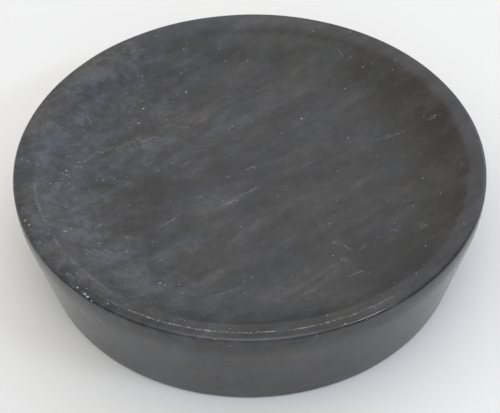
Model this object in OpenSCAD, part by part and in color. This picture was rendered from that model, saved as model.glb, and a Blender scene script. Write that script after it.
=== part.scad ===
// Shallow dish turned from one block of dark stone, standing on four felt pads stuck into a recess
// under it. The origin is on the axis, in the plane that the pads rest on. Millimetres, +Z up.

/* [Dish] */
// Diameter at the widest point, just under the rim
rim_d = 180; // [150:1:220]
// Height of the stone, from the foot ring to the crest of the rim
stone_h = 43.5; // [34:0.5:60]
// Lean of the wall from vertical, drawing in towards the foot, in degrees
wall_lean = 14.5; // [8:0.5:20]

/* [Rim] */
// Distance from the widest point in to the crest of the rim
crest_inset = 4.4; // [3.4:0.1:6]
// Width of the crowned land on the inner side of the crest
land_in_w = 2.2; // [1.2:0.1:4]
// Radius of the crown across the land
crown_r = 20; // [14:1:60]
// Radius of the outer arris
outer_arris_r = 1.6; // [0.8:0.1:2.4]
// Radius of the soft shoulder where the wall turns up to the widest point
shoulder_r = 36; // [12:1:45]
// Radius of the worn inner edge, where the land rolls over into the hollow
inner_edge_r = 7; // [2:0.25:12]

/* [Hollow] */
// Depth of the hollow on the axis, below the crest
hollow_depth = 7.5; // [6:0.5:12]
// Radius of the cove between the inner edge and the floor
cove_r = 60; // [40:1:70]
// Radius of the gently dished floor
floor_r = 1500; // [900:50:4000]

/* [Foot] */
// Radius of the arris between the wall and the foot ring
foot_arris_r = 1.2; // [0.6:0.1:3]
// Width of the flat foot ring
foot_ring_w = 12; // [8:0.5:20]
// Depth of the recess inside the foot ring
recess_depth = 1.6; // [1:0.1:2.1]
// Radius of the recess's inside corner
recess_fillet_r = 1; // [0.4:0.1:1]

/* [Felt pads] */
// Diameter of a pad
pad_d = 22; // [12:0.5:30]
// Thickness of the felt
felt_t = 2; // [1.9:0.1:4]
// Rounding of the felt's lower edge
felt_edge_r = 0.4; // [0.2:0.1:0.8]
// Thickness of the adhesive film between the felt and the stone
film_t = 0.2; // [0.2:0.05:0.4]
// Distance from the felt's edge in to the film's edge
film_inset = 0.4; // [0.2:0.1:1]
// Gap between a pad and the side of the recess
pad_gap = 2.5; // [1:0.5:8]

/* [Hidden] */
$fn = 180;
pad_count = 4;
// How far the section's short chords may stray from the true arcs
chord_tolerance = 0.01;

// Heights: the pads stand proud of the foot ring, and the crest is the top of the stone
foot_z = felt_t + film_t - recess_depth;
ceiling_z = foot_z + recess_depth;
crest_z = foot_z + stone_h;
floor_z = crest_z - hollow_depth;

// A direction in the section, as an angle up from the outward radius, and the angle of a direction
function dir(angle) = [cos(angle), sin(angle)];
function bearing(v) = atan2(v.y, v.x);

// Points along an arc between two angles, in chords that keep within the tolerance. The last point
// is left out, because what follows in the outline starts there.
function arc(centre, radius, from, to) =
    let (
        widest_step = 2 * acos(1 - chord_tolerance / radius),
        steps = ceil(abs(to - from) / widest_step)
    )
    [for (i = [0 : steps - 1]) centre + radius * dir(from + (to - from) * i / steps)];

// Where two circles meet, with centres p and q and radii a and b. Of the two points, this is the one
// on the left of the way from p to q.
function meet(p, a, q, b) =
    let (
        gap = norm(q - p),
        along = (a * a - b * b + gap * gap) / (2 * gap),
        aside = sqrt(a * a - along * along),
        u = (q - p) / gap
    )
    p + along * u + aside * [-u.y, u.x];

// The rim is a chain of arcs that run smoothly into each other. The crown's lean where it meets the
// outer arris follows from how far in the crest lies.
widest_r = rim_d / 2;
crown_lean = asin((crest_inset - outer_arris_r) / (crown_r - outer_arris_r));
land_lean = asin(land_in_w / crown_r);
crown_c = [widest_r - crest_inset, crest_z - crown_r];
outer_arris_c = crown_c + (crown_r - outer_arris_r) * dir(90 - crown_lean);
inner_edge_c = crown_c + (crown_r - inner_edge_r) * dir(90 + land_lean);
shoulder_c = [widest_r - shoulder_r, outer_arris_c.y];

// The wall runs straight from the shoulder down to the foot's arris
wall_top = shoulder_c + shoulder_r * dir(-wall_lean);
wall_drop = wall_top.y - foot_z - foot_arris_r * (1 - sin(wall_lean));
wall_foot = wall_top - wall_drop * [tan(wall_lean), 1];
foot_arris_c = wall_foot - foot_arris_r * dir(-wall_lean);
recess_r = foot_arris_c.x - foot_ring_w;
recess_fillet_c = [recess_r, ceiling_z] - recess_fillet_r * [1, 1];

// The hollow: the cove's circle touches the inner edge's from outside and the floor's from inside
floor_c = [0, floor_z + floor_r];
cove_c = meet(inner_edge_c, cove_r + inner_edge_r, floor_c, floor_r - cove_r);
inner_edge_end = bearing(cove_c - inner_edge_c);
cove_end = bearing(cove_c - floor_c);

// The pads lie on a ring just inside the recess's side
pad_ring_r = recess_r - pad_gap - pad_d / 2;

// The stone's section, from the axis out under the foot, up the wall, over the rim and back
section = concat(
    [[0, ceiling_z]],
    arc(recess_fillet_c, recess_fillet_r, 90, 0),
    [recess_fillet_c + [recess_fillet_r, 0], [recess_r, foot_z]],
    arc(foot_arris_c, foot_arris_r, -90, -wall_lean),
    arc(shoulder_c, shoulder_r, -wall_lean, 0),
    arc(outer_arris_c, outer_arris_r, 0, 90 - crown_lean),
    arc(crown_c, crown_r, 90 - crown_lean, 90 + land_lean),
    arc(inner_edge_c, inner_edge_r, 90 + land_lean, inner_edge_end),
    arc(cove_c, cove_r, inner_edge_end - 180, cove_end),
    arc(floor_c, floor_r, cove_end, -90),
    [[0, floor_z]]
);

module stone_dish() {
    color([0.17, 0.17, 0.18]) rotate_extrude() polygon(section);
}

// Puts a piece on the pads' ring: the first pad is an eighth of a turn from +X
module at_pad(i) {
    rotate(360 / pad_count * (i - 0.5)) translate([pad_ring_r, 0, 0]) children();
}

// A punched felt disc, its lower edge rounded by wear
module felt_pad(i) {
    felt_r = pad_d / 2;
    color([0.13, 0.13, 0.12])
    at_pad(i)
    rotate_extrude() {
        translate([0, felt_edge_r]) square([felt_r, felt_t - felt_edge_r]);
        square([felt_r - felt_edge_r, felt_t]);
        translate([felt_r - felt_edge_r, felt_edge_r]) circle(felt_edge_r);
    }
}

// The pad's own adhesive film, pressed up against the stone
module pad_adhesive(i) {
    color([0.75, 0.72, 0.62])
    at_pad(i)
    translate([0, 0, felt_t]) cylinder(r = pad_d / 2 - film_inset, h = film_t);
}

stone_dish();
for (i = [1 : pad_count]) {
    felt_pad(i);
    pad_adhesive(i);
}
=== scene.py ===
# %% [markdown]
# # A turned stone dish for go stones
#
# The real thing is one block of dark grey stone, turned on a lathe, hollowed out shallowly, and
# rubbed to a satin polish. It stands on four felt pads that are stuck into a recess under it.
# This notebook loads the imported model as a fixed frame, builds a finer skin for the stone and the
# felt, gives each a finish made of nodes, and ends with a plain studio.

import bpy
import numpy as np
from mathutils import Matrix, Vector


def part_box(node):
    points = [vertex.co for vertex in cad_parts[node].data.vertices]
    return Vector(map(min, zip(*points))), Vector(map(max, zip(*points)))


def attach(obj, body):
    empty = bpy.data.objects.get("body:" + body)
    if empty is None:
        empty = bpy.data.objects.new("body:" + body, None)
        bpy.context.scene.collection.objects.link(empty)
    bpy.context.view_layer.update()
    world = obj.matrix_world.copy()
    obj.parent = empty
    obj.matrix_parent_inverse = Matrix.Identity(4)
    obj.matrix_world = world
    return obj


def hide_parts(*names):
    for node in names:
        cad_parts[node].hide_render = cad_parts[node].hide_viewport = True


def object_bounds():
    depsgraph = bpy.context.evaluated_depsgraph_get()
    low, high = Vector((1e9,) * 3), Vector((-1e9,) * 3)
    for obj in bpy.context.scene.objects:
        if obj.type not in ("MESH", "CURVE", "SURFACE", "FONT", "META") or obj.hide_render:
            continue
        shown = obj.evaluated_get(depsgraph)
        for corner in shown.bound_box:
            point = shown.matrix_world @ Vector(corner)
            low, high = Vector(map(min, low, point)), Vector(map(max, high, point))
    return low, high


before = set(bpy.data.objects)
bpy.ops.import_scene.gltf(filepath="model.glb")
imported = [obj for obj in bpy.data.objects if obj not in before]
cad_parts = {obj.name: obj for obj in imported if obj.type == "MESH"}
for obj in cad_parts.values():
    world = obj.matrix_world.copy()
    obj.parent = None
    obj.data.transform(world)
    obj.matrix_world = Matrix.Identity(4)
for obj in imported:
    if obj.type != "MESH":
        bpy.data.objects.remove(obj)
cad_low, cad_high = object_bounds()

MM = 0.001
print("nodes:", ", ".join(sorted(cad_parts)))
print("box in mm:", [round(float(v) / MM, 2) for v in (*cad_low, *cad_high)])

# %% [markdown]
# ## The section of the stone
#
# A lathe makes a solid of revolution, so the stone could be a Screw modifier on a drawn outline.
# Here the outline is a chain of arcs that touch each other, worked out as a formula, because then
# the skin keeps true curves and every size has a name. A point of the section is one complex
# number: its real part is the distance from the axis and its imaginary part is the height. Adding
# an angle to such a number is a multiplication, which keeps the geometry short.
#
# The dish was finished by hand, so the land and the roll into the hollow change a little on the
# way round. The sizes that change are arrays with one value for each direction from the axis, and
# the same formulas then give the section in every direction at once.

# %% Helpers for the section

def turn(angle):
    """The unit number that points at an angle, in degrees up from straight outwards."""
    return np.exp(1j * np.radians(angle))


def bearing(number):
    """The angle that a complex number points at, in degrees."""
    return np.degrees(np.angle(number))


def arc(centre, radius, start, end, count):
    """count points on a circle: centre + radius times the unit number of an angle that goes evenly
    from start towards end. The end itself is left out, because the next stretch starts there."""
    share = np.arange(count)[:, None] / count
    return centre + radius * turn(start + (end - start) * share)


def line(start, end, count):
    """count points evenly along the straight way from start towards end, without the end."""
    share = np.arange(count)[:, None] / count
    return start + (end - start) * share


def meet(p, a, q, b):
    """Where two circles with centres p and q and radii a and b meet, on the left of the way from p
    to q: with gap the distance of the centres, the point lies (a^2 - b^2 + gap^2) / 2 gap along."""
    gap = abs(q - p)
    along = (a * a - b * b + gap * gap) / (2 * gap)
    return p + (along + 1j * np.sqrt(a * a - along * along)) * (q - p) / gap


print("two unit circles with centres 1 apart meet at", np.round(meet(0j, 1, 1 + 0j, 1), 3))

# %% Directions from the axis
# The steps are finest at the front of the rim, where the arris is chipped: the direction is
# u - k sin(u - u0), whose slope 1 - k cos(u - u0) is smallest at u0.
DIRECTIONS = 1000
FINEST_AT = np.radians(258)
FINENESS = 0.5
even = np.linspace(0, 2 * np.pi, DIRECTIONS, endpoint=False)
around = (even - FINENESS * np.sin(even - FINEST_AT))[None, :]
around_degrees = np.degrees(around) % 360
print("steps along the rim from", *(round(float(v), 2) for v in (
    90 * np.diff(around[0]).min(), 90 * np.diff(around[0]).max())), "mm")

# %% Ways to change on the way round

def near(degrees, middle, reach):
    """A smooth hill over directions: 1 at the middle, falling as a bell curve with that reach."""
    away = (degrees - middle + 180) % 360 - 180
    return np.exp(-(away / reach) ** 2)


def waver(degrees, waves):
    """A sum of cosines round the axis, from (count, height, direction of a crest) in waves."""
    return sum(high * np.cos(np.radians(count * (degrees - at))) for count, high, at in waves)


def between(front, back, share):
    """A size in metres from two in millimetres: front + (back - front) * share."""
    return (front + (back - front) * share) * MM


print("a hill with a reach of 60 is", round(float(near(60, 0, 60)), 2), "high 60 degrees away")

# %% Sizes that change on the way round
# A shift that puts the hollow's edge a little to the right of the axis and makes its line tremble
roll_shift = waver(around_degrees, [(1, 0.9, 195), (5, 0.25, 215), (11, 0.22, 210), (17, 0.15, 222),
                                    (29, 0.08, 201)]) * MM
# The land is flatter and its crest lies further in at the back, and the roll is softest there
flatness = near(around_degrees, 95, 62)
softness = near(around_degrees, 100, 82)
crest_inset = between(4.4, 6.8, flatness)
land_in_w = between(2.2, 1.4, flatness) + roll_shift
crown_r = between(20, 45, flatness)
inner_edge_r = between(2.5, 16, softness)
print("the roll wanders", round(float(np.ptp(roll_shift)) / MM, 2), "mm in all, and its radius goes from",
      *(round(float(v) / MM, 1) for v in (inner_edge_r.min(), inner_edge_r.max())), "mm")

# %% Sizes that stay the same
rim_low, rim_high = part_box("stone_dish")
widest_r = (rim_high.x - rim_low.x) / 2
crest_z = rim_high.z
foot_z = rim_low.z
outer_arris_r = 1.6 * MM
shoulder_r = 36 * MM
hollow_depth = 7.5 * MM
cove_r = 60 * MM
floor_r = 1500 * MM
wall_lean = 14.5
foot_arris_r = 1.2 * MM
foot_ring_w = 12 * MM
recess_depth = 1.6 * MM
recess_fillet_r = 1 * MM
recess_lip_r = 0.3 * MM
print("widest radius", round(widest_r / MM, 2), "mm, crest at", round(crest_z / MM, 2), "mm")

# %% [markdown]
# Going from the middle of the hollow outwards and then down and in under the foot, the stretches
# are: the dished floor, the cove, the roll at the inner edge, the crowned land, the outer arris,
# the shoulder, the straight wall, the foot's arris, the foot ring, and the recess under it. Each
# circle's centre follows from the one it touches, so no point of the outline is typed in.

# %% The chain of arcs
crown_lean = np.degrees(np.arcsin((crest_inset - outer_arris_r) / (crown_r - outer_arris_r)))
land_lean = np.degrees(np.arcsin(land_in_w / crown_r))
crown_c = widest_r - crest_inset + 1j * (crest_z - crown_r)
outer_arris_c = crown_c + (crown_r - outer_arris_r) * turn(90 - crown_lean)
inner_edge_c = crown_c + (crown_r - inner_edge_r) * turn(90 + land_lean)
shoulder_c = widest_r - shoulder_r + 1j * outer_arris_c.imag
wall_top = shoulder_c + shoulder_r * turn(-wall_lean)
wall_drop = wall_top.imag - foot_z - foot_arris_r * (1 - np.sin(np.radians(wall_lean)))
wall_foot = wall_top - wall_drop * (np.tan(np.radians(wall_lean)) + 1j)
foot_arris_c = wall_foot - foot_arris_r * turn(-wall_lean)
recess_r = foot_arris_c.real - foot_ring_w
ceiling_z = foot_z + recess_depth
fillet_c = recess_r - recess_fillet_r + 1j * (ceiling_z - recess_fillet_r)
lip_c = recess_r + recess_lip_r + 1j * (foot_z + recess_lip_r)
floor_c = 1j * (crest_z - hollow_depth + floor_r)
cove_c = meet(inner_edge_c, cove_r + inner_edge_r, floor_c, floor_r - cove_r)
roll_end = bearing(cove_c - inner_edge_c)
cove_end = bearing(cove_c - floor_c)
axis_step = 2.5 * MM

stretches = {
    "floor": arc(floor_c, floor_r, -90 + np.degrees(axis_step / floor_r), cove_end, 14),
    "cove": arc(cove_c, cove_r, cove_end, roll_end - 180, 13),
    "roll": arc(inner_edge_c, inner_edge_r, roll_end, 90 + land_lean, 11),
    "land": arc(crown_c, crown_r, 90 + land_lean, 90 - crown_lean, 14),
    "arris": arc(outer_arris_c, outer_arris_r, 90 - crown_lean, 0, 11),
    "shoulder": arc(shoulder_c, shoulder_r, 0, -wall_lean, 7),
    "wall": line(wall_top, wall_foot, 6),
    "foot arris": arc(foot_arris_c, foot_arris_r, -wall_lean, -90, 6),
    "foot ring": line(foot_arris_c - 1j * foot_arris_r, lip_c - 1j * recess_lip_r, 3),
    "recess lip": arc(lip_c, recess_lip_r, -90, -180, 3),
    "fillet": arc(fillet_c, recess_fillet_r, 0, 90, 4),
    "recess": line(fillet_c + 1j * recess_fillet_r, axis_step + 1j * ceiling_z, 4),
}
flat = np.zeros_like(around)
section = np.concatenate([points + flat for points in stretches.values()])
print("section:", section.shape[0], "rings of", section.shape[1])

# %% [markdown]
# ## From a section to a mesh
#
# A grid of points becomes a mesh when each cell gets four corners, in the order that makes the
# face point outwards: along the section first, then round the axis. The two poles are single
# points with a fan of triangles, so the skin is closed. Normals that are needed for pushing the
# surface in or out come from the grid itself, as the cross product of its two directions.

# %% Grid helpers

def spin(section, around):
    """Points in space: (r cos a, r sin a, z) for each section point r + iz and each direction a."""
    return np.stack([section.real * np.cos(around), section.real * np.sin(around),
                     section.imag + 0 * around], axis=-1)


def normals(points):
    """Unit normals of a grid that is closed in its second direction: the change along the section
    times, as a cross product, the change round the axis."""
    along = np.gradient(points, axis=0)
    across = np.roll(points, -1, axis=1) - np.roll(points, 1, axis=1)
    out = np.cross(along, across)
    return out / np.linalg.norm(out, axis=-1, keepdims=True)


def skin(name, points, top, bottom):
    """A closed mesh object from a grid of rings and its two poles. A cell's corners are (i, j),
    (i + 1, j), (i + 1, j + 1) and (i, j + 1)."""
    rings, steps = points.shape[:2]
    index = np.arange(rings * steps).reshape(rings, steps)
    beside = np.roll(index, -1, axis=1)
    quads = np.stack([index[:-1], index[1:], beside[1:], beside[:-1]], axis=-1).reshape(-1, 4)
    first, last = rings * steps, rings * steps + 1
    cap = np.stack([np.full(steps, first), index[0], beside[0]], axis=-1)
    base = np.stack([index[-1], np.full(steps, last), beside[-1]], axis=-1)
    vertices = np.concatenate([points.reshape(-1, 3), [top, bottom]])
    mesh = bpy.data.meshes.new(name)
    mesh.from_pydata(vertices, [], [*quads.tolist(), *cap.tolist(), *base.tolist()])
    mesh.polygons.foreach_set("use_smooth", np.ones(len(mesh.polygons), bool))
    mesh.update()
    piece = bpy.data.objects.new(name, mesh)
    bpy.context.scene.collection.objects.link(piece)
    return piece


def remember(piece, name, values):
    """Stores one number for each grid point as an attribute that the material can read."""
    both_poles = [values[0].mean(), values[-1].mean()]
    data = np.concatenate([values.reshape(-1), both_poles]).astype(np.float32)
    piece.data.attributes.new(name, "FLOAT", "POINT").data.foreach_set("value", data)


print("grid helpers: spin, normals, skin, remember")

# %% [markdown]
# ## Hand work and wear on the stone
#
# Two things keep a turned stone from looking like a machined one: the floor of the hollow is very
# slightly uneven, and the arris has lost a few small flakes where the dish was knocked. They could
# be painted as bumps, but here they are real dents in the skin, worked out as hills over the
# surface, because a bump in the material doesn't show in the outline.

# %% Distances along the section
# How far each point lies along the section from the crest and from the roll, for wear and finish
plain = spin(section, around)
out = normals(plain)
x, y = (plain[..., i] / MM for i in (0, 1))
run = np.cumsum(np.abs(np.diff(section, axis=0, prepend=section[:1])), axis=0)
ring_starts = np.cumsum([0] + [len(points) for points in stretches.values()])
ring_of = dict(zip(stretches, ring_starts))
crest_run = run[ring_of["land"]] + crown_r * np.radians(land_lean)
roll_run = (run[ring_of["roll"]] + run[ring_of["land"]]) / 2
print("the section is", round(float(run[-1].mean()) / MM, 1), "mm long")

# %% Flakes off the arris
# Each flake's direction in degrees, then in millimetres: how far it lies out from the crest along
# the section, its length along the rim, its width and its depth
FLAKES = [
    (224.9, 3.7, 0.5, 0.5, 0.25),
    (225.9, 3.2, 0.4, 0.4, 0.15),
    (228.4, 3.5, 1.2, 0.5, 0.30),
    (229.4, 3.9, 0.9, 0.6, 0.35),
    (230.9, 4.4, 0.7, 0.5, 0.30),
    (296.5, 4.8, 0.5, 0.3, 0.12),
]
from_crest = (run - crest_run) / MM
flake = np.zeros_like(x)
dent = np.zeros_like(x)
for direction, outwards, length, width, depth in FLAKES:
    aside = ((around_degrees - direction + 180) % 360 - 180) * np.radians(1) * widest_r / MM
    hill = np.exp(-((aside / length) ** 2 + ((from_crest - outwards) / width) ** 2) ** 2)
    flake = np.maximum(flake, hill)
    dent = np.maximum(dent, depth * hill)
print(len(FLAKES), "flakes, up to", round(float(dent.max()), 2), "mm deep")

# %% Push the skin in where it is worn, and make the dish
# The unevenness is a product of two slow sines over the plan plus a third, in millimetres
uneven = 0.05 * np.sin(x / 17 + 1.3) * np.sin(y / 13 - 0.4) + 0.03 * np.sin((x + y) / 7)
points = plain + out * ((uneven - dent) * MM)[..., None]
top = (0, 0, points[0, :, 2].mean() - axis_step ** 2 / (2 * floor_r))
bottom = (0, 0, points[-1, :, 2].mean())
dish = skin("turned_dish", points, top, bottom)
remember(dish, "from_crest", run - crest_run)
remember(dish, "from_roll", run - roll_run)
remember(dish, "flake", flake)
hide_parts("stone_dish")
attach(dish, "root")
print("turned_dish:", len(dish.data.polygons), "faces")

# %% [markdown]
# ## A short way to write materials
#
# A material is a graph of nodes, and drawing one by hand in code takes a line for each node and
# each link. The class below wraps one socket, so that sums and products in Python add the Math
# nodes by themselves, and one method makes any other node.

# %% Wires between nodes

class Wire:
    """One output socket of a node. Arithmetic with wires and numbers adds Math nodes."""

    def __init__(self, tree, socket=None):
        self.tree = tree
        self.socket = socket

    def make(self, kind, settings=None, sockets=None, out=0):
        """Adds a node. Its settings are set first (stops are a ramp's positions and colours), then
        its sockets, each to a value or a wire. Gives back its output named or numbered out."""
        node = self.tree.nodes.new(kind)
        for name, value in (settings or {}).items():
            if name == "stops":
                ramp = node.color_ramp
                for i, (position, colour) in enumerate(value):
                    stop = ramp.elements[i] if i < 2 else ramp.elements.new(position)
                    stop.position = position
                    stop.color = (*colour, 1)
            else:
                setattr(node, name, value)
        for name, value in (sockets or {}).items():
            if isinstance(value, Wire):
                self.tree.links.new(value.socket, node.inputs[name])
            else:
                node.inputs[name].default_value = value
        return Wire(self.tree, node.outputs[out])

    def maths(self, operation, *values):
        """A Math node on numbers, such as ABSOLUTE or ARCTAN2, with this wire first."""
        return self.make("ShaderNodeMath", {"operation": operation}, dict(enumerate((self, *values))))

    def __add__(self, other):
        return self.maths("ADD", other)

    def __sub__(self, other):
        return self.maths("SUBTRACT", other)

    def __rsub__(self, other):
        return self.make("ShaderNodeMath", {"operation": "SUBTRACT"}, {0: other, 1: self})

    def __mul__(self, other):
        return self.maths("MULTIPLY", other)

    def __truediv__(self, other):
        return self.maths("DIVIDE", other)

    __radd__ = __add__
    __rmul__ = __mul__


print("a wire knows + - * / and its own methods make and maths")

# %% Patterns as wires

def smooth(wire, low, high):
    """0 below low, 1 above high, and a smooth step between. With low above high it falls."""
    settings = {"interpolation_type": "SMOOTHSTEP"}
    if low < high:
        return wire.make("ShaderNodeMapRange", settings, {"Value": wire, 1: low, 2: high})
    return wire.make("ShaderNodeMapRange", settings, {"Value": wire, 1: high, 2: low, 3: 1.0, 4: 0.0})


def blend(share, one, other):
    """A colour between two: one where share is 0, and other where it is 1."""
    return share.make("ShaderNodeMix", {"data_type": "RGBA"}, {0: share, 6: one, 7: other}, 2)


def part(vector, axis):
    """One coordinate of a vector: X, Y or Z."""
    return vector.make("ShaderNodeSeparateXYZ", {}, {0: vector}, axis)


def stored(place, name):
    """The number that a mesh stores under that name at each point."""
    return place.make("ShaderNodeAttribute", {"attribute_name": name}, out="Fac")


def lay(place, size, turned=(0, 0, 0), at=(0, 0, 0)):
    """The coordinates of a pattern whose features have that size, in metres along its own three
    axes: the place less at, turned back by the angles in degrees, and divided by the size."""
    return place.make("ShaderNodeMapping", {"vector_type": "TEXTURE"}, {
        "Vector": place, "Location": at, "Rotation": tuple(np.radians(turned)), "Scale": size})


def cloud(place, detail, roughness=0.5, distortion=0.0):
    """Noise from 0 to 1 with features about one unit across."""
    return place.make("ShaderNodeTexNoise", {}, {
        "Vector": place, "Scale": 1.0, "Detail": detail, "Roughness": roughness,
        "Distortion": distortion}, "Fac")


def lumps(place, size, detail, roughness=0.5):
    """A cloud whose features are that many millimetres across, whichever way they are measured."""
    return cloud(lay(place, (size * MM,) * 3), detail, roughness)


def most(wires):
    """The greatest of several wires. Each is compared as soon as it is made, because a renderer can
    hold only a few hundred numbers of one material at a time."""
    wires = iter(wires)
    total = next(wires)
    for wire in wires:
        total = total.maths("MAXIMUM", wire)
    return total


print("patterns: smooth, blend, part, stored, lay, cloud, lumps, most")

# %% The start and the end of a material

def new_material(name):
    """An empty material with nodes, and the wire of its Object coordinates."""
    material = bpy.data.materials.new(name)
    material.use_nodes = True
    material.node_tree.nodes.clear()
    start = Wire(material.node_tree)
    return material, start.make("ShaderNodeTexCoord", out="Object")


def shade(wire, constants, varying):
    """The Principled shader: plain numbers set on its sockets, and the patterns linked to it."""
    surface = wire.make("ShaderNodeBsdfPrincipled", {}, {**constants, **varying})
    output = wire.tree.nodes.new("ShaderNodeOutputMaterial")
    wire.tree.links.new(surface.socket, output.inputs["Surface"])


print("materials start with new_material and end with shade")

# %% [markdown]
# ## The stone
#
# The stone was laid down in thin beds, which run through the whole block at a slant. A pattern in
# three dimensions therefore suits it better than one painted on the surface: the same beds come
# out as long diagonal streaks on the flat of the hollow and as short level patches on the wall.
# On top of the beds lie pale grains, crowded along a few veins, and the marks of use: short
# scratches in the hollow, a rubbed line along the crest, and fresh pale stone in the flakes. Some of
# the colour is painted light and shade: the tone falls and the tint warms from left to right, pale
# and dark ovals lighten parts of the rim and shade parts of the cove, the left and right sides of the
# wall are lightened as a painted reflection, and a faint pale line along the roll on the left front
# is a painted highlight.

# %% Beds and grains
BED_HEADING = 38
BED_DIP = 24
BEDS = (BED_DIP, 0, BED_HEADING)


def beds(place, along, across, through):
    """Coordinates in the beds, for features with those lengths in millimetres."""
    return lay(place, (along * MM, across * MM, through * MM), BEDS)


def grains(place, pitch, radius, share):
    """Pale grains: every Voronoi cell, pitch across, has one round its point, and it is kept where
    the cell's own random number is below share. Both sizes are in millimetres."""
    spaced = {"Vector": place, "Scale": 1 / (pitch * MM)}
    cell = place.make("ShaderNodeTexVoronoi", {}, spaced, "Distance")
    number = place.make("ShaderNodeTexVoronoi", {}, spaced, "Color")
    pick = number.make("ShaderNodeSeparateColor", {}, {"Color": number}, "Red")
    return smooth(cell, radius / pitch, 0.5 * radius / pitch) * smooth(share - pick, 0, 0.02)


def mark(place, x, y, length, width, heading):
    """A soft oval on the plan, 1 at its middle and 0 at its edge: the length of the place in the
    oval's own coordinates, turned over. Sizes and places are in millimetres."""
    oval = lay(place, (length * MM / 2, width * MM / 2, 1.0), (0, 0, heading), (x * MM, y * MM, 0))
    reach = oval.make("ShaderNodeVectorMath", {"operation": "LENGTH"}, {0: oval}, "Value")
    return smooth(reach, 1, 0.3)


print("the beds head", BED_HEADING, "degrees left of +X and dip", BED_DIP, "degrees")

# %% Marks, painted light and painted shade on the dish, in millimetres on the plan
# Trains of grains: x, y, length, width, heading
TRAINS = [
    (-25, 27.2, 9, 1.8, 14), (-23.7, 7, 11, 1.8, 38), (-8.7, -1, 7, 1.8, 5), (0, 3.5, 7, 2.4, 30),
    (-19, -12, 7, 2.2, 35), (-4, -12.5, 9, 2.6, 48), (54, 18.5, 21, 2.2, 17), (72, 25, 12, 2.6, 8),
    (29, -28, 7, 3, 35), (31, -37.5, 7, 3, -30), (34.5, -47, 6, 4, -30), (59.5, -17.2, 7, 1.8, 0),
    (64, -32, 5, 5, 90), (53, -32.7, 6, 2, -15), (-56, -37.4, 5, 2, 20), (-67.5, -32, 6, 3, 60),
    (-58, -43, 9, 6, 30), (40, -54, 8, 2.2, -20), (-66.5, 2, 15, 5, 60), (-65, -58, 6, 3, -40),
    (-50, 16.4, 14, 3.2, 15),
]
# Scratches: x, y, length, width, heading
SCRATCHES = [
    (38.5, 64.5, 7, 0.6, -60), (42, 62.3, 4.5, 0.6, 35), (35.4, -40.8, 7, 0.9, -48),
    (40.8, -41, 6, 0.8, 41), (-33, -45.3, 7, 0.6, 37), (-8, -61.5, 15, 0.8, 27), (-63, 29.5, 7, 0.5, -60),
    (1.9, 4, 5, 0.8, 90), (0.5, -8.8, 8, 0.8, 38), (37, -54.8, 9, 0.7, 26), (-7.5, -15.2, 6, 1.2, 32),
    (20, -63.5, 9, 0.6, 30), (-40, 20, 12, 1.0, 28), (-30, -25, 10, 0.9, 40),
]
# Pale and dark clouds: x, y, length, width, heading. Most are painted light and shade: the pale ones
# on the left of the dish and at the back and back right of the rim are painted light, and the dark
# ones in the cove at the back, the right and the front right and on the right of the rim are painted
# shade. The two near the middle that run with the beds are the stone's own tone.
PALE_TONE_AND_LIGHT = [
    (-74, -30, 70, 40, 60), (-13, -14, 34, 28, 38), (-56, 62, 60, 26, 42), (-45, -52, 50, 30, -45),
    (12, 87, 130, 14, -4), (70, 58, 50, 12, -50),
]
DARK_TONE_AND_SHADE = [
    (-40, -8, 30, 24, 38), (64, 10, 62, 40, 75), (-4, 72, 80, 24, 0), (52, 52, 50, 24, -45),
    (52, -46, 36, 56, -35), (90, -8, 50, 20, 90), (57, -50, 40, 10, 49),
]
print(len(TRAINS), "trains of grains,", len(SCRATCHES), "scratches")

# %% The body's tone and colour
# The two ends of the grey ramp and its middle, and the tints at the bluish and the brownish end of
# the mix, which carries the stone's own hue and a painted tint of reflected light
GREYS = [(0.0, (0.012, 0.012, 0.012)), (1.0, (0.075, 0.075, 0.075)), (0.5, (0.034, 0.034, 0.034))]
BLUISH = (0.84, 0.94, 1.16, 1)
BROWNISH = (1.10, 1.0, 0.89, 1)


def body_colour(place, x, patchy, streaks, mottle, coarse, painted_side_reflection):
    """The grey of a tone, times a tint. The tone is a middle value that falls from left to right as
    painted light and shade, plus the beds' streaks, a mottle, broad clouds, thin wisps, the pale and
    dark spots, which are mostly painted light and shade, and a painted reflection on the left and right
    sides of the wall. The tint goes from bluish on the left to warmer on the right as a painted tint of
    reflected light, with the stone's own veils in it."""
    broad = cloud(beds(place, 60, 34, 26), detail=2)
    thin = cloud(beds(place, 10, 1.5, 2.5), detail=4, roughness=0.6, distortion=0.5)
    wisps = smooth(thin, 0.56, 0.74) * (0.25 + patchy * 0.75)
    pale_spots_and_light = most(mark(place, *spot) for spot in PALE_TONE_AND_LIGHT)
    dark_spots_and_shade = most(mark(place, *spot) for spot in DARK_TONE_AND_SHADE)
    # The fall of the tone from left to right is painted light and shade: lighter on the left, darker on
    # the right
    tone = (0.40 - x * (0.15 / widest_r) + (streaks - 0.5) * 1.9 + (mottle - 0.5) * coarse
            + (broad - 0.5) * 0.4 + wisps * 0.34 + pale_spots_and_light * 0.15 - dark_spots_and_shade * 0.28 + painted_side_reflection * 0.22)
    grey = tone.make("ShaderNodeValToRGB", {"stops": GREYS}, {"Fac": tone}, "Color")
    veil = cloud(beds(place, 26, 15, 12), detail=3, roughness=0.6)
    # The tint's drift with x, bluish on the left and warmer on the right, is a painted tint of reflected
    # light; the veil is the stone's own hue
    warmth = 0.55 + x * (0.35 / widest_r) + (veil - 0.5) * 2.2
    tint = blend(warmth.make("ShaderNodeClamp", {}, {0: warmth}), BLUISH, BROWNISH)
    return tint.make("ShaderNodeMix", {"data_type": "RGBA", "blend_type": "MULTIPLY"},
                     {0: 1.0, 6: grey, 7: tint}, 2)


print("tones from", GREYS[0][1][0], "to", GREYS[1][1][0])

# %% Where the grains crowd together
# The vein's top, in millimetres along and across the beds' heading, and its bend
VEIN_TOP = (-39, 45.5)
VEIN_BEND = 0.0128


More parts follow.
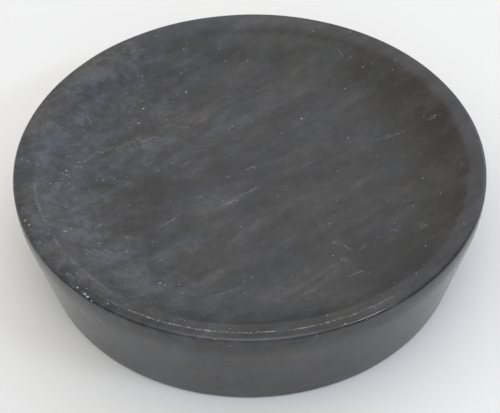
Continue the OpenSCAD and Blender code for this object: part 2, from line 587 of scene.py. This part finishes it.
def crowding(place):
    """1 in the main vein and in the trains of grains. The vein is a parabola in millimetres along
    and across the beds' heading: across = top - bend * (along - top)^2."""
    plan = lay(place, (MM, MM, MM), (0, 0, BED_HEADING))
    along = part(plan, "X")
    across = part(plan, "Y")
    from_top = along - VEIN_TOP[0]
    off_vein = (across - VEIN_TOP[1] + from_top * from_top * VEIN_BEND).maths("ABSOLUTE")
    vein = (smooth(off_vein, 2.6, 0.5) * smooth(along, -72, -62) * smooth(along, -10, -18)
            * (0.5 + smooth(cloud(beds(place, 9, 3, 3), detail=2), 0.42, 0.6) * 0.5))
    return vein.maths("MAXIMUM", most(mark(place, *train) for train in TRAINS))


print("the vein's top lies", VEIN_TOP[1], "mm across the beds' heading")

# %% Wear and a painted highlight along the rim

def rim_wear_and_highlight(place, crest, from_front, nicks, thick):
    """Three masks: the crest's rubbed line at the front, a broken painted highlight along the crisp
    stretch of the roll on the left front, and the flakes. Each is a band along the rim times its
    stretch of directions."""
    roll = stored(place, "from_roll") / MM
    off_crest = crest - 0.5 - lumps(place, 6, detail=2) * 0.9
    rubbed = (smooth(off_crest.maths("ABSOLUTE"), 0.45, 0.05) * smooth(from_front, -44, -26)
              * smooth(from_front, 40, 26) * (0.08 + nicks * 0.92) * (0.30 + thick * 0.70))
    # A painted highlight: a faint, broken pale line along the middle of the roll on the left front
    lip = (smooth(roll.maths("ABSOLUTE"), 1.0, 0.1) * smooth(from_front, -96, -80)
           * smooth(from_front, -30, -42) * thick * (0.05 + nicks * 0.14))
    chips = smooth(stored(place, "flake") * (0.45 + nicks * 0.75), 0.42, 0.72)
    return rubbed, lip, chips


# Of these, the crest's line and the flakes are wear, and the roll's line is a painted highlight
print("wear: crest, roll and flakes")

# %% The stone's finish
CHALK_AND_HIGHLIGHT = (0.46, 0.46, 0.45, 1)
FLECK_SHAPE = (1.7, 1, 1)


def stone_finish():
    """Dark grey stone: the body's colour, then the grains, scratches and worn edges in a pale chalk tone,
    a painted highlight along the roll in the same tone, and a satin gloss. The gloss is duller where
    the pale tone lies, and higher on the left and right sides of the wall, whose colour is lightened
    there as a painted reflection, and on one polished stretch of the arris."""
    material, place = new_material("dark_satin_stone")
    x = part(place, "X")
    y = part(place, "Y")
    streaks = cloud(beds(place, 34, 9, 9), detail=7, roughness=0.72, distortion=0.4)
    mottle = lumps(place, 7, detail=6, roughness=0.85)
    patchy = smooth(cloud(beds(place, 20, 7, 7), detail=3, roughness=0.6), 0.46, 0.66)
    crest = stored(place, "from_crest") / MM
    from_front = x.maths("ARCTAN2", 0 - y) * (180 / np.pi)
    wall = smooth(crest, 5, 12)
    # The left and right sides of the wall are lightened as a painted reflection, and their roughness is
    # lower
    painted_side_reflection = wall * smooth(x.maths("ABSOLUTE"), 48 * MM, 84 * MM)
    left = smooth(x, 0, -60 * MM) * (1 - wall)
    body = body_colour(place, x, patchy, streaks, mottle, 1.6 + left * 1.6, painted_side_reflection)

    crowded = crowding(place)
    scattered = (1 + patchy * 3 + left * 1.5) * (1 - wall * 0.8)
    dust = grains(place, pitch=1.3, radius=0.28, share=scattered * 0.022 + crowded * 0.60)
    flecks = grains(lay(place, FLECK_SHAPE, BEDS), pitch=1.9, radius=0.36,
                    share=scattered * 0.010 + crowded * 0.26)
    powder = grains(place, pitch=0.75, radius=0.24, share=crowded * 0.60) * 0.75
    pale_grains = dust.maths("MAXIMUM", flecks).maths("MAXIMUM", powder)

    scratched = most(mark(place, *scratch) for scratch in SCRATCHES)
    broken = smooth(lumps(place, 0.8, detail=3, roughness=0.7), 0.40, 0.62)
    nicks = smooth(lumps(place, 0.9, detail=4, roughness=0.7), 0.46, 0.62)
    thick = smooth(lumps(place, 5, detail=2), 0.35, 0.65)
    rubbed, lip, chips = rim_wear_and_highlight(place, crest, from_front, nicks, thick)
    # The pale tone's share: grains, scratches, the rubbed crest and the flakes, and the roll's painted
    # highlight
    chalky_and_highlight = most([pale_grains * 0.75, scratched * (0.03 + broken * 0.26), rubbed * 0.75, lip, chips,
                   crowded * broken * 0.07])
    polished = (smooth(crest, 2.4, 3.4) * smooth(crest, 7.0, 5.8) * smooth(from_front, 8, 18)
                * smooth(from_front, 42, 30))
    gloss = (0.30 - polished * 0.14 + (mottle - 0.5) * 0.16 + (streaks - 0.5) * 0.12
             + chalky_and_highlight * 0.25 - painted_side_reflection * 0.12)
    grit = lumps(place, 0.35, detail=3, roughness=0.6)
    height = grit * 0.7 + streaks - pale_grains * 0.5
    relief = place.make("ShaderNodeBump", {}, {
        "Strength": 0.12, "Distance": 0.05 * MM, "Height": height}, "Normal")
    shade(place, {"IOR": 1.6}, {"Base Color": blend(chalky_and_highlight, body, CHALK_AND_HIGHLIGHT), "Roughness": gloss,
                                "Normal": relief})
    return material


dish.data.materials.append(stone_finish())
print("dark_satin_stone:", len(dish.data.materials[0].node_tree.nodes), "nodes")

# %% [markdown]
# ## Felt pads
#
# A felt pad is punched from a sheet of matted fibres. A plain cylinder would look like plastic, so
# each pad gets a skin of its own: the lower edge is worn round, the upper one is crisp, and the cut
# side is fuzzy. The skin is a section spun round the pad's own axis, with a tremble that is
# different for each pad.

# %% Make the four pads
PAD_STEPS = 120
FUZZ = 0.12 * MM
ROOM_FOR_FUZZ = 0.15 * MM
FIRST_RING = 0.5 * MM


def felt_skin(name, node, seed):
    """A round pad in its node's box. The section goes from the top's middle over the top's edge,
    down the side and round the worn lower edge, and the fuzz is a sum of sines over the skin."""
    low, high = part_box(node)
    middle = (low + high) / 2
    radius = (high.x - low.x) / 2 - ROOM_FOR_FUZZ
    worn = 0.4 * MM
    crisp = 0.1 * MM
    turns = np.linspace(0, 2 * np.pi, PAD_STEPS, endpoint=False)[None, :]
    outline = np.concatenate([
        line(FIRST_RING + 1j * high.z, radius - crisp + 1j * high.z, 12),
        arc(radius - crisp + 1j * (high.z - crisp), crisp, 90, 0, 3),
        line(radius + 1j * (high.z - crisp), radius + 1j * (low.z + worn), 10),
        arc(radius - worn + 1j * (low.z + worn), worn, 0, -90, 6),
        line(radius - worn + 1j * low.z, FIRST_RING + 1j * low.z, 14),
    ]) + 0 * turns
    side = np.clip((outline.real / radius - 0.9) * 10, 0, 1)
    draws = np.random.default_rng(seed)
    fuzz = sum(np.sin(draws.integers(9, 50) * turns + outline.imag / MM * draws.uniform(1, 6)
                      + draws.uniform(0, 6)) for _ in range(7)) / 7
    outline = outline + fuzz * side * FUZZ
    grid = spin(outline, turns)
    grid[..., 2] = np.clip(grid[..., 2], low.z, high.z)
    place = np.array([middle.x, middle.y, 0])
    pad = skin(name, grid + place, (middle.x, middle.y, high.z), (middle.x, middle.y, low.z))
    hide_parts(node)
    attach(pad, "root")
    return pad


pads = [felt_skin(f"punched_felt_{i}", f"felt_pad_{i}", 40 + i) for i in range(1, 5)]
print(len(pads), "pads of", len(pads[0].data.polygons), "faces each")

# %% The felt's finish
FIBRE = (1.6 * MM, 0.12 * MM, 0.12 * MM)


def felt_finish():
    """Matted fibres: fine noise pulled out in three directions, light where fibres stand up."""
    material, place = new_material("dark_felt")
    matted = most([cloud(lay(place, FIBRE, (20, 10, heading)), detail=3, roughness=0.6)
                   for heading in (15, 75, 130)])
    patch = lumps(place, 3, detail=2)
    tone = matted * 0.8 + patch * 0.2
    colour = tone.make("ShaderNodeValToRGB", {"stops": [
        (0.35, (0.010, 0.010, 0.009)), (0.8, (0.070, 0.068, 0.062))]}, {"Fac": tone}, "Color")
    nap = place.make("ShaderNodeBump", {}, {
        "Strength": 0.8, "Distance": 0.12 * MM, "Height": matted}, "Normal")
    shade(place, {"Sheen Weight": 0.5, "Sheen Roughness": 0.6, "Specular IOR Level": 0.15},
          {"Base Color": colour, "Roughness": 0.9 + patch * 0.1, "Normal": nap})
    return material


felt = felt_finish()
for pad in pads:
    pad.data.materials.append(felt)
print("dark_felt:", len(felt.node_tree.nodes), "nodes")

# %% [markdown]
# ## Adhesive films
#
# Each pad came with its own film of pressure adhesive on a thin carrier. It is hidden once the pad
# is stuck, and its shape in the frame is right, so the frame's own pieces stay and only get a
# finish: a yellowish film with small trapped bubbles.

# %% The film's finish

def film_finish():
    """A dull yellowish film. Bubbles are pale spots at the points of a Voronoi pattern."""
    material, place = new_material("adhesive_film")
    bubbles = grains(place, pitch=1.8, radius=0.35, share=lumps(place, 4, detail=1))
    milky = lumps(place, 2, detail=3)
    colour = blend(bubbles, blend(milky, (0.50, 0.44, 0.30, 1), (0.62, 0.56, 0.42, 1)),
                   (0.75, 0.72, 0.62, 1))
    bump = place.make("ShaderNodeBump", {}, {
        "Strength": 0.4, "Distance": 0.05 * MM, "Height": bubbles}, "Normal")
    shade(place, {"IOR": 1.47}, {"Base Color": colour, "Roughness": 0.3 + milky * 0.3,
                                 "Normal": bump})
    return material


film = film_finish()
for name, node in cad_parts.items():
    if name.startswith("pad_adhesive"):
        node.data.materials.clear()
        node.data.materials.append(film)
print("adhesive_film:", len(film.node_tree.nodes), "nodes")

# %% [markdown]
# ## The studio
#
# The dish stands on a plain pale sheet in a soft room. The light is a sum of glows in the world. The
# strongest come from the front, at the viewer's height and above it, and the others come from
# overhead, from behind and from the sides. A lamp has edges that a satin stone would mirror, but a
# glow fades with the angle from its own direction, so it draws no hard shape. The one lamp is a
# small window up at the front right, which puts a thin bright line on the arris.

# %% Floor
FLOOR_HALF = 8.0


def make_floor():
    """One square of pale sheet in the plane that the pads rest on."""
    corners = [(across * FLOOR_HALF, back * FLOOR_HALF, cad_low.z)
               for across, back in ((-1, -1), (1, -1), (1, 1), (-1, 1))]
    mesh = bpy.data.meshes.new("pale_sheet")
    mesh.from_pydata(corners, [], [(0, 1, 2, 3)])
    sheet = bpy.data.objects.new("pale_sheet", mesh)
    bpy.context.scene.collection.objects.link(sheet)
    material, place = new_material("pale_paper")
    tone = lumps(place, 250, detail=2)
    colour = blend(tone, (0.875, 0.865, 0.84, 1), (0.885, 0.875, 0.85, 1))
    shade(place, {"Specular IOR Level": 0.2}, {"Base Color": colour, "Roughness": 0.75 + tone * 0.1})
    mesh.materials.append(material)


make_floor()
print("floor:", 2 * FLOOR_HALF, "m square")

# %% The glows
# The light of one glow is its colour times the cosine of the angle from its direction, to the power
# of its tightness. Each row is the compass bearing clockwise from the back, the degrees up, the
# tightness and the colour.
GLOWS = [
    (0, 90, 8, (0.60, 0.60, 0.57)),
    (180, 72, 14, (1.35, 1.25, 1.05)),
    (0, 45, 8, (0.74, 0.70, 0.64)),
    (45, 45, 8, (0.45, 0.55, 0.75)),
    (90, 45, 8, (0.30, 0.30, 0.32)),
    (180, 45, 8, (1.90, 2.00, 2.30)),
    (270, 45, 8, (0.85, 0.85, 0.75)),
    (0, 15, 14, (0.35, 0.38, 0.42)),
    (45, 15, 14, (1.50, 1.35, 1.30)),
    (315, 15, 14, (0.60, 0.55, 0.50)),
]


def make_world():
    """A black sky plus the glows."""
    world = bpy.data.worlds.new("soft_room")
    bpy.context.scene.world = world
    world.use_nodes = True
    world.node_tree.nodes.clear()
    toward = Wire(world.node_tree).make("ShaderNodeTexCoord", out="Generated")
    light = toward.make("ShaderNodeRGB", out="Color")
    light.socket.default_value = (0, 0, 0, 1)
    for compass, up, tightness, colour in GLOWS:
        level = turn(up)
        across = turn(90 - compass) * level.real
        aim = (across.real, across.imag, level.imag)
        cosine = toward.make("ShaderNodeVectorMath", {"operation": "DOT_PRODUCT"},
                             {0: toward, 1: aim}, "Value").maths("MAXIMUM", 0.0)
        strength = cosine.maths("POWER", tightness)
        tinted = blend(strength, (0, 0, 0, 1), (*colour, 1))
        light = light.make("ShaderNodeMix", {"data_type": "RGBA", "blend_type": "ADD"},
                           {0: 1.0, 6: light, 7: tinted}, 2)
    background = light.make("ShaderNodeBackground", {}, {"Color": light}, "Background")
    output = world.node_tree.nodes.new("ShaderNodeOutputWorld")
    world.node_tree.links.new(background.socket, output.inputs["Surface"])


make_world()
print("world with", len(GLOWS), "glows")

# %% The window

def lamp(name, place, aim, width, height, radiance, colour):
    """A rectangular lamp at a place, turned towards aim, whose face shines with that radiance. The
    power that this takes is the radiance times pi times the face's area."""
    data = bpy.data.lights.new(name, "AREA")
    data.shape = "RECTANGLE"
    data.size = width
    data.size_y = height
    data.energy = radiance * np.pi * width * height
    data.color = colour
    light = bpy.data.objects.new(name, data)
    light.location = place
    light.rotation_euler = (Vector(aim) - Vector(place)).to_track_quat("-Z", "Y").to_euler()
    light.visible_camera = False
    bpy.context.scene.collection.objects.link(light)
    return light


window = lamp("side_window", place=(0.91, -0.64, 1.05), aim=(0, 0, crest_z), width=0.34, height=0.17,
              radiance=18.0, colour=(0.72, 0.82, 1.0))
print("the window shines with", round(window.data.energy, 2), "W")

# %% [markdown]
# ## Camera
#
# The camera looks down at the dish from the front, from about three and a half widths away, and is
# tipped a little to one side. It aims at a point a little in front of the dish's middle, which sets
# the dish slightly high in the view.

# %% Place the camera
VIEW_DOWN = 43.37
VIEW_DISTANCE = 647.5 * MM
VIEW_ROLL = -1.13
AIM_OFFSET = (-0.1 * MM, -25.0 * MM)
FOCAL_LENGTH = 122.4

down = np.radians(VIEW_DOWN)
eye = Vector((0, -VIEW_DISTANCE * np.cos(down), crest_z + VIEW_DISTANCE * np.sin(down)))
aim = Vector((*AIM_OFFSET, crest_z))
camera_data = bpy.data.cameras.new("camera")
camera_data.lens = FOCAL_LENGTH
camera_data.sensor_width = 36
camera_data.clip_start = 0.01
camera = bpy.data.objects.new("camera", camera_data)
look = (aim - eye).to_track_quat("-Z", "Y").to_matrix()
camera.matrix_world = (Matrix.Translation(eye)
                       @ (look @ Matrix.Rotation(np.radians(VIEW_ROLL), 3, "Z")).to_4x4())
bpy.context.scene.collection.objects.link(camera)
bpy.context.scene.camera = camera
bpy.context.scene.view_settings.view_transform = "Standard"
print("camera at", [round(v, 4) for v in eye])
